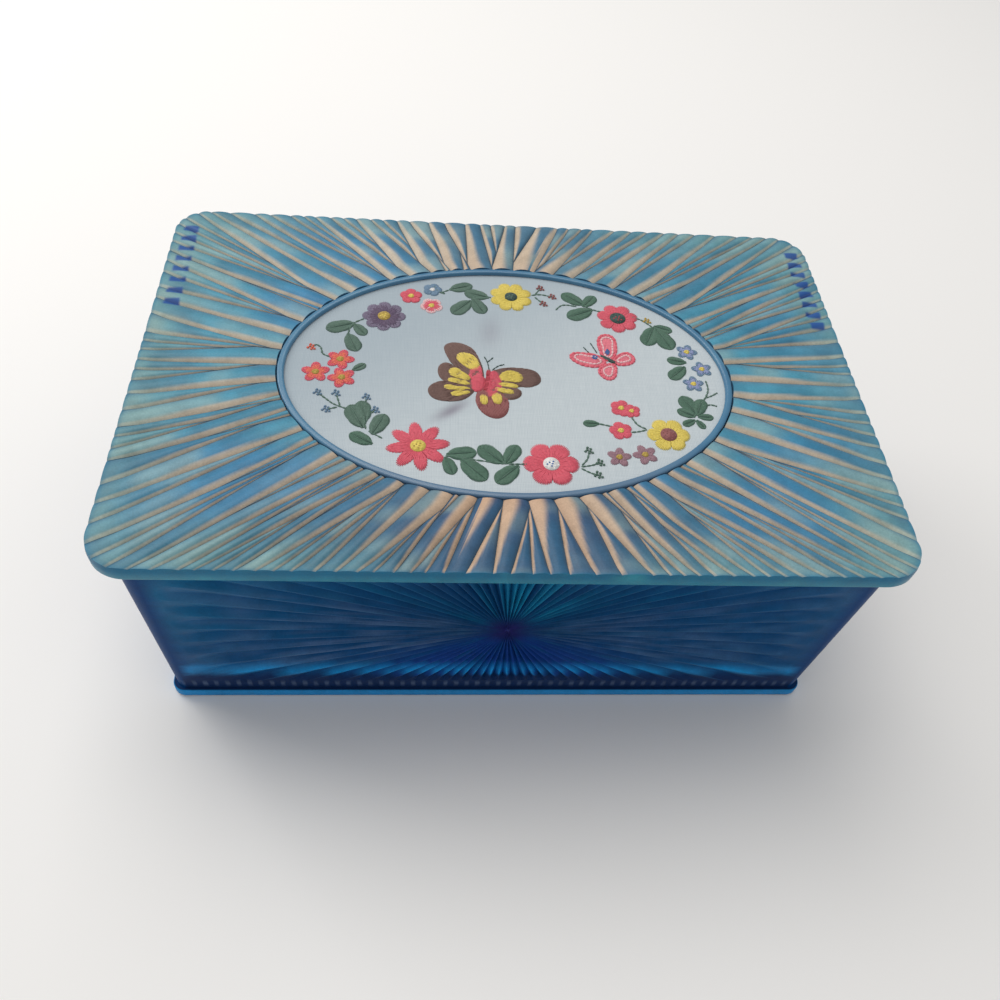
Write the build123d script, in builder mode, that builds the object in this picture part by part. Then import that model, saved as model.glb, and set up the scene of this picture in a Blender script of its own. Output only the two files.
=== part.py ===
# Trinket box: a moulded body with a foot, and a fluted lid with an embroidered oval, hinged at the back.
# Millimetres. The origin is the centre of the base, +Z is up and the front of the box faces -Y.
import math
import os

from build123d import *

os.makedirs("parts", exist_ok=True)

# Lid plate
lid_length = 165.0
lid_width = 110.0
lid_thickness = 4.0
lid_corner_radius = 8.0

# Body walls, measured at the rim unless a name says otherwise
rim_height = 58.8
rim_gap = 0.2
lid_overhang = 3.4
wall_thickness = 3.0
wall_draft = 2.0
wall_corner_radius = 4.5
cavity_corner_radius = 1.2
floor_thickness = 3.0

# Foot flange under the walls, with a shallow recess so that only its rail touches the table
foot_height = 2.8
foot_reach = 1.0
foot_corner_radius = 3.0
foot_rail = 7.0
foot_recess = 0.8

# Rays pressed into the four walls, spreading from one point on each
ray_count = 48
ray_centre_height = 33.0
ray_side_margin = 6.5
ray_rim_margin = 3.6
ray_foot_margin = 3.2
ray_start = 4.0
ray_fill = 0.72
ray_depth = 1.4
cutter_lift = 0.02

# Flutes in the lid: every second one is broad at the oval, the others are broad at the edge
flute_pairs = 58
flute_fill = 0.62
flute_tip_fill = 0.12
flute_depth = 1.3
flute_tip_depth = 0.35
flute_edge_overshoot = 4.0
flute_oval_margin = 0.9

# Oval recess in the lid and what lies in it, from the bottom up
oval_length = 104.5
oval_width = 73.6
recess_floor = 1.0
card_thickness = 1.0
wadding_thickness = 0.5
cloth_thickness = 0.4
insert_clearance = 0.2
ring_band = 1.5
ring_height = 0.9
thread_height = 0.35

# Hinge: two arms under the lid turn on pins held in the side walls
hinge_drop = 9.0
hinge_setback = 5.0
arm_thickness = 3.0
arm_radius = 3.0
arm_side_clearance = 0.35
notch_clearance = 0.4
notch_depth_below_pin = 4.1
pin_radius = 1.0
pin_running_clearance = 0.05
pin_end_proud = 0.2
pin_head_radius = 1.6
pin_head_thickness = 0.8
pin_head_clearance = 0.05
pin_head_sink = 0.1
rear_swing_clearance = 0.3

# Lining on the floor of the box
lining_thickness = 1.5
lining_clearance = 0.3

# Places worked out from the sizes above
draft_slope = math.tan(math.radians(wall_draft))
wall_length = lid_length - 2 * lid_overhang
wall_width = lid_width - 2 * lid_overhang
wall_base_length = wall_length - 2 * rim_height * draft_slope
wall_base_width = wall_width - 2 * rim_height * draft_slope
wall_base_radius = wall_corner_radius - rim_height * draft_slope
cavity_rise = rim_height - floor_thickness
cavity_floor_length = wall_length - 2 * wall_thickness - 2 * cavity_rise * draft_slope
cavity_floor_width = wall_width - 2 * wall_thickness - 2 * cavity_rise * draft_slope
foot_length = wall_base_length + 2 * foot_height * draft_slope + 2 * foot_reach
foot_width = wall_base_width + 2 * foot_height * draft_slope + 2 * foot_reach
lid_bottom = rim_height + rim_gap
lid_top = lid_bottom + lid_thickness
card_bottom = lid_bottom + recess_floor
wadding_bottom = card_bottom + card_thickness
cloth_bottom = wadding_bottom + wadding_thickness
cloth_top = cloth_bottom + cloth_thickness
hinge_z = lid_bottom - hinge_drop
hinge_y = wall_width / 2 - hinge_setback
arm_outer_x = wall_length / 2 - wall_thickness - (hinge_drop + arm_radius) * draft_slope - arm_side_clearance
arm_inner_x = arm_outer_x - arm_thickness
wall_outer_at_pin = wall_length / 2 - (rim_height - hinge_z + pin_head_radius) * draft_slope
pin_outer_x = wall_outer_at_pin - pin_head_sink
pin_inner_x = arm_inner_x - pin_end_proud
swing_radius = hinge_drop - rear_swing_clearance
rear_rim_z = hinge_z + math.sqrt(swing_radius**2 - hinge_setback**2)


def groove_cutter(face, angle, start, end, start_size, end_size):
    # A V-shaped bar sunk into a face along one ray. Each size is a width at the face and a depth.
    along = face.x_dir * math.cos(math.radians(angle)) + face.y_dir * math.sin(math.radians(angle))
    sections = []
    for distance, (width, depth) in ((start, start_size), (end, end_size)):
        station = Plane(origin=face.origin + along * distance, x_dir=along.cross(face.z_dir), z_dir=along)
        half_top = width / 2 * (1 + cutter_lift / depth)
        with BuildSketch(station) as section:
            with BuildLine():
                Polyline((-half_top, -cutter_lift), (half_top, -cutter_lift), (0, depth), close=True)
            make_face()
        sections.append(section.sketch.face())
    return Solid.make_loft([section.outer_wire() for section in sections], ruled=True)


def reach_to_rectangle(angle, half_length, half_up, half_down):
    # How far a ray runs from the centre to the sides of a rectangle around it
    across = abs(math.cos(math.radians(angle)))
    rise = math.sin(math.radians(angle))
    limit = half_up if rise > 0 else half_down
    reach = half_length / across if across > 1e-6 else math.inf
    return min(reach, limit / abs(rise)) if abs(rise) > 1e-6 else reach


def reach_to_oval(angle, half_length, half_width):
    across = math.cos(math.radians(angle)) / half_length
    rise = math.sin(math.radians(angle)) / half_width
    return 1 / math.hypot(across, rise)


def wall_rays(turn, half_length_at_rim, half_width_at_rim):
    # The starburst of one wall, which stands at half_width_at_rim before it is turned about Z.
    # A ray's width and depth both grow from nothing at the centre, so its flanks are flat.
    inset = (rim_height - ray_centre_height) * draft_slope
    lean = math.radians(wall_draft)
    face = Plane(
        origin=(0, -(half_width_at_rim - inset), ray_centre_height),
        x_dir=(1, 0, 0),
        z_dir=(0, -math.cos(lean), -math.sin(lean)),
    )
    half_length = half_length_at_rim - inset - ray_side_margin
    up = rim_height - ray_centre_height - ray_rim_margin
    down = ray_centre_height - foot_height - ray_foot_margin
    step = 360 / ray_count
    cutters = []
    for number in range(ray_count):
        angle = (number + 0.5) * step
        end = reach_to_rectangle(angle, half_length, up, down)
        start_size = (ray_fill * math.radians(step) * ray_start, ray_depth * ray_start / end)
        end_size = (ray_fill * math.radians(step) * end, ray_depth)
        cutter = groove_cutter(face, angle, ray_start, end, start_size, end_size)
        cutters.append(cutter.rotate(Axis.Z, turn))
    return cutters


# Box body: tapered walls on a foot flange, hollow from the rim down to the floor
with BuildPart() as box_body:
    with BuildSketch():
        RectangleRounded(wall_base_length, wall_base_width, wall_base_radius)
    extrude(amount=rim_height, taper=-wall_draft)

    # Starbursts on the front, right, back and left walls
    rays = []
    for quarter in range(4):
        across, deep = (wall_length, wall_width) if quarter % 2 == 0 else (wall_width, wall_length)
        rays += wall_rays(90 * quarter, across / 2, deep / 2)
    add(rays, mode=Mode.SUBTRACT)

    # Foot flange, the hollow and the recess under the floor
    with BuildSketch():
        RectangleRounded(foot_length, foot_width, foot_corner_radius)
    extrude(amount=foot_height)
    with BuildSketch(Plane.XY.offset(floor_thickness)):
        RectangleRounded(cavity_floor_length, cavity_floor_width, cavity_corner_radius)
    extrude(amount=cavity_rise, taper=-wall_draft, mode=Mode.SUBTRACT)
    with BuildSketch():
        RectangleRounded(foot_length - 2 * foot_rail, foot_width - 2 * foot_rail, foot_corner_radius)
    extrude(amount=foot_recess, mode=Mode.SUBTRACT)

    # Behind the pins the rim slopes down to the rear, so that the lid's overhang can swing past it
    with BuildSketch(Plane.YZ):
        with BuildLine():
            Polyline(
                (hinge_y, rim_height),
                (wall_width / 2, rear_rim_z),
                (lid_width, rear_rim_z),
                (lid_width, lid_top),
                (hinge_y, lid_top),
                close=True,
            )
        make_face()
    extrude(amount=wall_length, both=True, mode=Mode.SUBTRACT)

    # Notches in the rear wall for the arms, which stop the lid when they meet the bottom of them
    notch_middle_x = (arm_inner_x + arm_outer_x) / 2
    with BuildSketch(Plane.XY.offset(hinge_z - notch_depth_below_pin)):
        with Locations((notch_middle_x, hinge_y), (-notch_middle_x, hinge_y)):
            Rectangle(arm_thickness + 2 * notch_clearance, lid_width, align=(Align.CENTER, Align.MIN))
    extrude(amount=rim_height, mode=Mode.SUBTRACT)

    # Holes for the hinge pins, with a sink for each head in the outer face
    for side in (-1, 1):
        with BuildSketch(Plane.YZ.offset(side * arm_outer_x)):
            with Locations((hinge_y, hinge_z)):
                Circle(pin_radius)
        extrude(amount=side * lid_overhang * 2, mode=Mode.SUBTRACT)
        with BuildSketch(Plane.YZ.offset(side * (pin_outer_x - pin_head_thickness))):
            with Locations((hinge_y, hinge_z)):
                Circle(pin_head_radius + pin_head_clearance)
        extrude(amount=side * lid_overhang, mode=Mode.SUBTRACT)
box_body.part.label = "box_body"
export_step(box_body.part, "parts/box_body.step")


def lid_flutes():
    # Tapered grooves from the oval out past the lid's edge, broad at one end and thin at the other
    face = Plane.XY.offset(lid_top)
    step = 180 / flute_pairs
    cutters = []
    for number in range(2 * flute_pairs):
        angle = (number + 0.5) * step
        start = reach_to_oval(angle, oval_length / 2, oval_width / 2) + flute_oval_margin
        end = reach_to_rectangle(angle, lid_length / 2, lid_width / 2, lid_width / 2) + flute_edge_overshoot
        pair_turn = math.radians(2 * step)
        broad_in = number % 2 == 0
        near_fill, far_fill = (flute_fill, flute_tip_fill) if broad_in else (flute_tip_fill, flute_fill)
        near_depth, far_depth = (flute_depth, flute_tip_depth) if broad_in else (flute_tip_depth, flute_depth)
        start_size = (near_fill * pair_turn * start, near_depth)
        end_size = (far_fill * pair_turn * end, far_depth)
        cutters.append(groove_cutter(face, angle, start, end, start_size, end_size))
    return cutters


# Lid: a fluted plate with a blind oval recess on top and two hinge arms below
with BuildPart() as lid_frame:
    with BuildSketch(Plane.XY.offset(lid_bottom)):
        RectangleRounded(lid_length, lid_width, lid_corner_radius)
    extrude(amount=lid_thickness)
    add(lid_flutes(), mode=Mode.SUBTRACT)
    with BuildSketch(Plane.XY.offset(card_bottom)):
        Ellipse(oval_length / 2, oval_width / 2)
    extrude(amount=lid_thickness, mode=Mode.SUBTRACT)
    for side in (-1, 1):
        with BuildSketch(Plane.YZ.offset(side * arm_inner_x)):
            with Locations((hinge_y, hinge_z)):
                Circle(arm_radius)
                Rectangle(2 * arm_radius, hinge_drop, align=(Align.CENTER, Align.MIN))
                Circle(pin_radius + pin_running_clearance, mode=Mode.SUBTRACT)
        extrude(amount=side * arm_thickness)
lid_frame.part.label = "lid_frame"
export_step(lid_frame.part, "parts/lid_frame.step")

# Oval insert, from the bottom up: stiff card, wadding, stretched cloth, and the ring that holds its edge
insert_half_length = oval_length / 2 - insert_clearance
insert_half_width = oval_width / 2 - insert_clearance

with BuildPart() as backing_card:
    with BuildSketch(Plane.XY.offset(card_bottom)):
        Ellipse(insert_half_length, insert_half_width)
    extrude(amount=card_thickness)
backing_card.part.label = "backing_card"
export_step(backing_card.part, "parts/backing_card.step")

with BuildPart() as cloth_wadding:
    with BuildSketch(Plane.XY.offset(wadding_bottom)):
        Ellipse(insert_half_length, insert_half_width)
    extrude(amount=wadding_thickness)
cloth_wadding.part.label = "cloth_wadding"
export_step(cloth_wadding.part, "parts/cloth_wadding.step")

with BuildPart() as embroidered_cloth:
    with BuildSketch(Plane.XY.offset(cloth_bottom)):
        Ellipse(insert_half_length, insert_half_width)
    extrude(amount=cloth_thickness)
embroidered_cloth.part.label = "embroidered_cloth"
export_step(embroidered_cloth.part, "parts/embroidered_cloth.step")

with BuildPart() as oval_ring:
    with BuildSketch(Plane.XY.offset(cloth_top)):
        Ellipse(insert_half_length, insert_half_width)
        Ellipse(insert_half_length - ring_band, insert_half_width - ring_band, mode=Mode.SUBTRACT)
    extrude(amount=ring_height)
oval_ring.part.label = "oval_ring"
export_step(oval_ring.part, "parts/oval_ring.step")

# Embroidered flowers: x, y, petals, reach from the middle to a petal's tip, and turn in degrees
flowers = (
    (-29.1, 18.0, 8, 4.6, 0),
    (-22.6, 25.7, 5, 2.0, 20),
    (-17.7, 21.8, 5, 2.2, 50),
    (-17.8, 28.6, 5, 1.9, 0),
    (2.0, 26.9, 8, 4.5, 22),
    (28.0, 20.6, 7, 4.2, 10),
    (43.1, 8.9, 5, 2.2, 0),
    (46.0, 3.2, 5, 2.2, 30),
    (43.2, -1.8, 5, 2.1, 15),
    (34.7, -17.9, 6, 4.4, 0),
    (25.4, -10.0, 5, 2.4, 0),
    (24.3, -16.5, 5, 2.2, 30),
    (22.4, -24.4, 5, 2.3, 10),
    (28.0, -23.9, 5, 2.3, 40),
    (7.7, -26.8, 6, 5.3, 0),
    (-20.6, -22.7, 8, 6.2, 8),
    (-38.0, 4.4, 5, 2.7, 0),
    (-44.0, -0.6, 5, 2.7, 20),
    (-37.4, -3.2, 5, 2.7, 40),
)

# Embroidered leaves: x, y of the middle, length, and the direction of the tip in degrees
leaves = (
    (-40.2, 12.8, 6.5, 190),
    (-37.0, 9.2, 5.6, 250),
    (-35.0, 13.6, 4.6, 290),
    (-44.8, 6.4, 3.6, 120),
    (-33.2, 1.2, 3.6, 30),
    (-41.0, -10.6, 3.6, 150),
    (-37.8, -9.0, 3.4, 110),
    (-32.2, -10.4, 4.6, 100),
    (-32.9, -15.4, 5.4, 120),
    (-27.4, -15.6, 5.4, 70),
    (-30.6, -20.6, 6.0, 175),
    (-11.2, -23.6, 5.4, 10),
    (-13.0, -28.2, 4.8, 250),
    (-8.6, -28.6, 5.4, 320),
    (-4.6, -24.8, 5.6, 150),
    (0.6, -24.4, 5.0, 75),
    (-1.2, -29.2, 5.4, 215),
    (15.6, -23.6, 4.0, 80),
    (16.4, -28.8, 4.2, 330),
    (17.4, -15.0, 5.2, 178),
    (40.4, -7.4, 6.0, 120),
    (44.4, -8.6, 4.4, 40),
    (40.2, -13.0, 6.0, 130),
    (42.8, -14.6, 4.6, 320),
    (39.8, 5.8, 3.6, 160),
    (39.6, 2.2, 4.0, 210),
    (33.8, 14.4, 5.0, 240),
    (39.2, 15.2, 5.4, 20),
    (38.8, 11.6, 5.0, 290),
    (22.0, 26.4, 4.4, 60),
    (17.0, 27.2, 5.4, 150),
    (17.6, 22.6, 5.4, 200),
    (12.0, 24.0, 3.4, 320),
    (9.6, 29.8, 3.6, 60),
    (-11.4, 29.0, 5.6, 170),
    (-6.6, 26.6, 5.4, 330),
    (-11.2, 23.4, 5.0, 220),
    (-6.4, 22.4, 4.6, 280),
)
leaf_width_share = 0.42
flower_heart_share = 0.42


def flower_face(petals, reach):
    # Rounded petals around a heart
    with BuildSketch() as face:
        with PolarLocations(reach * 0.56, petals):
            Ellipse(reach * 0.44, reach * 1.5 / petals)
        Circle(reach * flower_heart_share)
    return face.sketch


def leaf_face(length):
    # A pointed leaf between two arcs, lying along X
    bulge = length * leaf_width_share / 2
    with BuildSketch() as face:
        with BuildLine():
            ThreePointArc((-length / 2, 0), (0, bulge), (length / 2, 0))
            ThreePointArc((length / 2, 0), (0, -bulge), (-length / 2, 0))
        make_face()
    return face.sketch


with BuildPart() as embroidered_flowers:
    with BuildSketch(Plane.XY.offset(cloth_top)):
        for x, y, petals, reach, turn in flowers:
            with Locations(Location((x, y, 0), (0, 0, turn))):
                add(flower_face(petals, reach))
    extrude(amount=thread_height)
embroidered_flowers.part.label = "embroidered_flowers"
export_step(embroidered_flowers.part, "parts/embroidered_flowers.step")

# Butterflies: each wing is an ellipse with a direction, a distance from the body and two half sizes
large_wings = (
    (112, 8.4, 8.0, 4.2),
    (158, 7.2, 5.6, 2.9),
    (196, 9.0, 6.0, 3.6),
    (-8, 9.4, 7.6, 3.4),
    (-82, 7.6, 6.0, 5.2),
)
small_wings = (
    (80, 3.4, 3.6, 2.2),
    (172, 4.6, 4.0, 2.0),
    (-4, 4.2, 3.6, 1.7),
    (-95, 3.4, 3.0, 2.2),
)
butterflies = (
    ((-4.8, 0.6), 0, large_wings),
    ((23.6, 6.2), 8, small_wings),
)

with BuildPart() as embroidered_butterflies:
    with BuildSketch(Plane.XY.offset(cloth_top)):
        for (x, y), turn, wings in butterflies:
            for direction, distance, half_length, half_width in wings:
                reach = Location((x, y, 0), (0, 0, turn + direction)) * Location((distance, 0, 0))
                with Locations(reach):
                    Ellipse(half_length, half_width)
    extrude(amount=thread_height)
embroidered_butterflies.part.label = "embroidered_butterflies"
export_step(embroidered_butterflies.part, "parts/embroidered_butterflies.step")

# The leaves are trimmed where a flower or a butterfly lies over them
with BuildPart() as embroidered_leaves:
    with BuildSketch(Plane.XY.offset(cloth_top)):
        for x, y, length, turn in leaves:
            with Locations(Location((x, y, 0), (0, 0, turn))):
                add(leaf_face(length))
    extrude(amount=thread_height)
    add(embroidered_flowers.part, mode=Mode.SUBTRACT)
    add(embroidered_butterflies.part, mode=Mode.SUBTRACT)
embroidered_leaves.part.label = "embroidered_leaves"
export_step(embroidered_leaves.part, "parts/embroidered_leaves.step")

# Hinge pins: a head sunk in the side wall and a shank that runs through the arm
for side, name in ((-1, "hinge_pin_left"), (1, "hinge_pin_right")):
    with BuildPart() as hinge_pin:
        with BuildSketch(Plane.YZ.offset(side * pin_inner_x)):
            with Locations((hinge_y, hinge_z)):
                Circle(pin_radius)
        extrude(amount=side * (pin_outer_x - pin_inner_x))
        with BuildSketch(Plane.YZ.offset(side * (pin_outer_x - pin_head_thickness))):
            with Locations((hinge_y, hinge_z)):
                Circle(pin_head_radius)
        extrude(amount=side * pin_head_thickness)
    hinge_pin.part.label = name
    export_step(hinge_pin.part, "parts/" + name + ".step")

# Lining: a covered card on the floor of the box
with BuildPart() as floor_lining:
    with BuildSketch(Plane.XY.offset(floor_thickness)):
        RectangleRounded(
            cavity_floor_length - 2 * lining_clearance,
            cavity_floor_width - 2 * lining_clearance,
            cavity_corner_radius,
        )
    extrude(amount=lining_thickness)
floor_lining.part.label = "floor_lining"
export_step(floor_lining.part, "parts/floor_lining.step")
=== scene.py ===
import bisect
import math
import random

import bmesh
import bpy
from mathutils import Matrix, Vector, noise


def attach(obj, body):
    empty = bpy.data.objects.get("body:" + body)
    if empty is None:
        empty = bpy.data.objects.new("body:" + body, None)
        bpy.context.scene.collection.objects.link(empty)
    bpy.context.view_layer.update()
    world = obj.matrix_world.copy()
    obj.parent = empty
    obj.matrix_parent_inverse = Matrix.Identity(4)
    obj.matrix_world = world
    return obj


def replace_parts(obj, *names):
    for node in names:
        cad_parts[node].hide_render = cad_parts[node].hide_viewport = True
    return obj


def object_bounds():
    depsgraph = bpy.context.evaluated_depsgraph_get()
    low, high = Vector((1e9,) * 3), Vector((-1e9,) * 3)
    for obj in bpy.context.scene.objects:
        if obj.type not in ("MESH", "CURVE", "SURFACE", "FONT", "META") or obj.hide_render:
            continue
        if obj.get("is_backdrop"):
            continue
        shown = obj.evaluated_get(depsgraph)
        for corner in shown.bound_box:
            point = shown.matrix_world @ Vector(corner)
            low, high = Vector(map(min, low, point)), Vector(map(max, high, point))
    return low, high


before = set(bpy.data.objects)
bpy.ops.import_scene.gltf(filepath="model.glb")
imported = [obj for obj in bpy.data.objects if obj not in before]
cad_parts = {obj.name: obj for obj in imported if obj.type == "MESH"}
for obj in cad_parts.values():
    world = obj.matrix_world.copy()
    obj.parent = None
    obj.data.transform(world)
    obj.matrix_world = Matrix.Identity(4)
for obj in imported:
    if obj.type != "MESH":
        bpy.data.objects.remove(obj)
cadLow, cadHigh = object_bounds()
cadLow, cadHigh = list(cadLow), list(cadHigh)
print("frame loaded")


# Small helpers for meshes
def linked(name, data):
    obj = bpy.data.objects.new(name, data)
    bpy.context.scene.collection.objects.link(obj)
    return obj


def meshFrom(name, bm):
    bmesh.ops.recalc_face_normals(bm, faces=bm.faces)
    mesh = bpy.data.meshes.new(name)
    bm.to_mesh(mesh)
    bm.free()
    return mesh


def smoothed(mesh, sharpAngle):
    for polygon in mesh.polygons:
        polygon.use_smooth = True
    if sharpAngle:
        mesh.set_sharp_from_angle(angle=math.radians(sharpAngle))
    return mesh


def pieceFrom(name, bm, body, materials, sharpAngle=None):
    mesh = smoothed(meshFrom(name, bm), sharpAngle)
    for material in materials:
        mesh.materials.append(material)
    obj = linked(name, mesh)
    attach(obj, body)
    return obj


def bridge(bm, first, second):
    ends = zip(first, first[1:] + first[:1], second[1:] + second[:1], second)
    return [bm.faces.new(corners) for corners in ends]


def bridgeAll(bm, loops):
    return [face for first, second in zip(loops, loops[1:]) for face in bridge(bm, first, second)]


def turns(count):
    return [2 * math.pi * n / count for n in range(count)]


def around(centre, angle, reach):
    return centre[0] + math.cos(angle) * reach, centre[1] + math.sin(angle) * reach


# Camera, solved from the lid's corners, the oval and the foot in the photo
camera = {
    "place": (-0.0201, -0.1457, 0.2042), "down": (0.019, -0.794, -0.607), "forward": (0.092, 0.606, -0.790),
    "lens": 31.79, "sensor": 36,
}
cameraData = bpy.data.cameras.new("camera")
cameraData.lens = camera["lens"]
cameraData.sensor_width = camera["sensor"]
cameraData.clip_start, cameraData.clip_end = 0.01, 20
cameraObject = linked("camera", cameraData)
lookAt = Vector(camera["forward"]).normalized()
cameraRight = lookAt.cross(-Vector(camera["down"])).normalized()
cameraUp = cameraRight.cross(lookAt).normalized()
cameraObject.matrix_world = Matrix((cameraRight, cameraUp, -lookAt)).transposed().to_4x4()
cameraObject.location = camera["place"]
bpy.context.scene.camera = cameraObject
print("camera placed")


# Small helpers for materials, in which every input takes a value or the output of another node
def feed(node, inputs):
    for key, value in inputs.items():
        if isinstance(value, bpy.types.NodeSocket):
            node.id_data.links.new(value, node.inputs[key])
        else:
            node.inputs[key].default_value = value


def newMaterial(name, inputs):
    material = bpy.data.materials.new(name)
    material.use_nodes = True
    shader = material.node_tree.nodes["Principled BSDF"]
    feed(shader, inputs)
    return material, material.node_tree, shader


def addNode(tree, kind, inputs, **settings):
    node = tree.nodes.new(kind)
    for key, value in settings.items():
        setattr(node, key, value)
    feed(node, inputs)
    return node


def treeOf(*values):
    return next(value for value in values if isinstance(value, bpy.types.NodeSocket)).id_data


def reckon(operation, *values, clamp=False):
    inputs = dict(enumerate(values))
    return addNode(treeOf(*values), "ShaderNodeMath", inputs, operation=operation, use_clamp=clamp).outputs[0]


def plus(first, *others):
    for other in others:
        first = reckon("ADD", first, other)
    return first


def times(first, *others):
    for other in others:
        first = reckon("MULTIPLY", first, other)
    return first


def mixColour(factor, a, b, blend="MIX"):
    inputs = {0: factor, 6: a, 7: b}
    return addNode(treeOf(factor, a, b), "ShaderNodeMix", inputs, data_type="RGBA", blend_type=blend).outputs[2]


def objectCoords(tree):
    return tree.nodes.new("ShaderNodeTexCoord").outputs["Object"]


def splitCoords(tree):
    return list(addNode(tree, "ShaderNodeSeparateXYZ", {0: objectCoords(tree)}).outputs)


def attribute(tree, name):
    return addNode(tree, "ShaderNodeAttribute", {}, attribute_name=name).outputs["Color"]


def noiseNode(coords, scale, detail=2.0, roughness=0.5):
    inputs = {"Vector": coords, "Scale": scale, "Detail": detail, "Roughness": roughness}
    return addNode(coords.id_data, "ShaderNodeTexNoise", inputs).outputs["Fac"]


def bumpInto(shader, height, distance, strength):
    inputs = {"Height": height, "Distance": distance, "Strength": strength}
    feed(shader, {"Normal": addNode(shader.id_data, "ShaderNodeBump", inputs).outputs[0]})


def band(value, low, high, soft):
    # 1 between low and high, with soft ends
    ends = []
    for outside, inside in ((low - soft, low + soft), (high + soft, high - soft)):
        inputs = {"Value": value, "From Min": outside, "From Max": inside}
        ends.append(addNode(value.id_data, "ShaderNodeMapRange", inputs).outputs[0])
    return times(*ends)


# Colours are given as they look, from 0 to 255, and turned into linear values
def tone(*colour):
    return tuple(((c / 255 + 0.055) / 1.055) ** 2.4 if c > 10 else c / 3295 for c in colour) + (1.0,)


def palette(**colours):
    return {name: tone(*colour) for name, colour in colours.items()}


def between(a, b, share):
    share = min(1.0, max(0.0, share))
    return tuple(p + (q - p) * share for p, q in zip(a, b))


def layered(tones, first, *layers):
    # The first tone with the others laid over it, each by its share
    colour = tones[first]
    for name, share in layers:
        colour = between(colour, tones[name], share)
    return colour


def easeStep(low, high, value):
    share = min(1.0, max(0.0, (value - low) / (high - low)))
    return share * share * (3 - 2 * share)


def cloudAt(x, y, z):
    return noise.noise((x, y, z)) * 0.5 + 0.5


# Lid: a slab whose top is pressed into rounded ridges with sharp valleys, which fan out from the oval
lid = {
    "low": 0.0590, "high": 0.0630, "half": (0.0825, 0.0550), "corner": 0.008, "rimInset": 0.00015,
    "oval": (0.05225, 0.0368), "ovalOutset": 0.00012, "recess": 0.0600, "pairs": 54, "rings": 34,
    "columns": 10, "depth": 0.0009, "fullRidge": 0.0032, "tipFlat": 0.55, "edgeBand": 0.00125,
    "innerShare": 0.51, "leastPart": 0.005, "recessTop": 0.0620,
}
# Facets that face this way get a painted warm reflection beside their valley
warmSide = Vector((0.33, 0.944))
# Among these tones, the peach and sand ones are painted warm reflections, line is a painted shade along the valleys,
# and deepBlue also paints shade on the far flanks
lidTones = palette(
    navy=(58, 84, 118), deepBlue=(82, 116, 142), blue=(50, 122, 170), teal=(74, 145, 171),
    green=(104, 151, 160), peach=(198, 165, 137), sand=(194, 181, 162), grey=(158, 182, 174),
    blot=(40, 98, 132), line=(50, 82, 106), patch=(34, 78, 152), edge=(0, 108, 146),
    edgeLow=(46, 146, 166), recess=(66, 108, 138), under=(40, 104, 140),
)


def rimPoint(angle, inset=0.0, corner=lid["corner"]):
    # The point where a ray from the centre meets the lid's rounded rectangle, drawn in by the inset
    c, s = math.cos(angle), math.sin(angle)
    halfLength, halfWidth = lid["half"][0] - inset, lid["half"][1] - inset
    reach = min(half / abs(way) if abs(way) > 1e-9 else 1e9 for half, way in ((halfLength, c), (halfWidth, s)))
    if abs(c * reach) > halfLength - corner and abs(s * reach) > halfWidth - corner:
        centreX, centreY = math.copysign(halfLength - corner, c), math.copysign(halfWidth - corner, s)
        along = c * centreX + s * centreY
        across = centreX * centreX + centreY * centreY - corner * corner
        reach = along + math.sqrt(max(along * along - across, 0.0))
    return c * reach, s * reach


def ovalPoint(angle, outset=0.0):
    c, s = math.cos(angle), math.sin(angle)
    reach = 1 / math.hypot(c / (lid["oval"][0] + outset), s / (lid["oval"][1] + outset))
    return c * reach, s * reach


# The ridges are spaced evenly along the oval and along the rim: a table gives the turn for a share of the length
tableSteps = 2880


def lengthTable(curve):
    table = [(0.0, 0.0)]
    for n in range(1, tableSteps + 1):
        t0, t1 = 2 * math.pi * (n - 1) / tableSteps, 2 * math.pi * n / tableSteps
        table.append((table[-1][0] + math.dist(curve(t0), curve(t1)), t1))
    return table


ovalTable, rimTable = lengthTable(ovalPoint), lengthTable(rimPoint)


def turnAt(place, table):
    # place counts pairs of ridges round the table's curve
    laps, part = divmod(place / lid["pairs"], 1.0)
    length = part * table[-1][0]
    low = min(tableSteps - 1, bisect.bisect_right(table, (length, 9.0)) - 1)
    (l0, a0), (l1, a1) = table[low], table[low + 1]
    return laps * 2 * math.pi + a0 + (a1 - a0) * (length - l0) / (l1 - l0)


def widened(share):
    # How wide a pair of ridges is at this share of the way out, against its width at the rim
    return lid["innerShare"] + (1 - lid["innerShare"]) * share


def knotted(knots, share):
    # The part of a pair at which a line lies, straight on the lid between its knots
    for (u0, w0), (u1, w1) in zip(knots, knots[1:]):
        if share <= u1:
            along = (share - u0) / (u1 - u0)
            return (w0 * widened(u0) * (1 - along) + w1 * widened(u1) * along) / widened(share)
    return knots[-1][1]


random.seed(7)
sideways = [abs(math.cos(turnAt(n, ovalTable))) for n in range(lid["pairs"])]
pairShift = [(random.uniform(-0.06, 0.06), random.uniform(-1, 1) * (0.09 + 0.06 * side)) for side in sideways]
pairLines = []
for side in sideways:
    # Straight lines inside a pair, as knots of (share of the way out, part of the pair), each ending on another
    start = random.uniform(0.02, 0.2)
    three = random.random() < 0.34 + 0.25 * side
    meet = (1 / 3 if three else 0.46) + random.uniform(-0.05, 0.05)
    lines = [((0, 0.985), (start, 0.985), (1, meet))]
    if three:
        second = random.uniform(start + 0.1, 0.5)
        onFirst = knotted(lines[0], second) + 0.008
        lines.append(((0, 0.992), (start, 0.992), (second, onFirst), (1, 2 / 3 + random.uniform(-0.05, 0.05))))
    if random.random() < 0.22:
        lines.insert(0, ((0, random.uniform(0.22, 0.38)), (random.uniform(0.3, 0.6), 0.007), (1, 0.007)))
    if random.random() < 0.5 * side:
        lines = [tuple((share, 1 - part) for share, part in line) for line in reversed(lines)]
    pairLines.append(lines)


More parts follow.
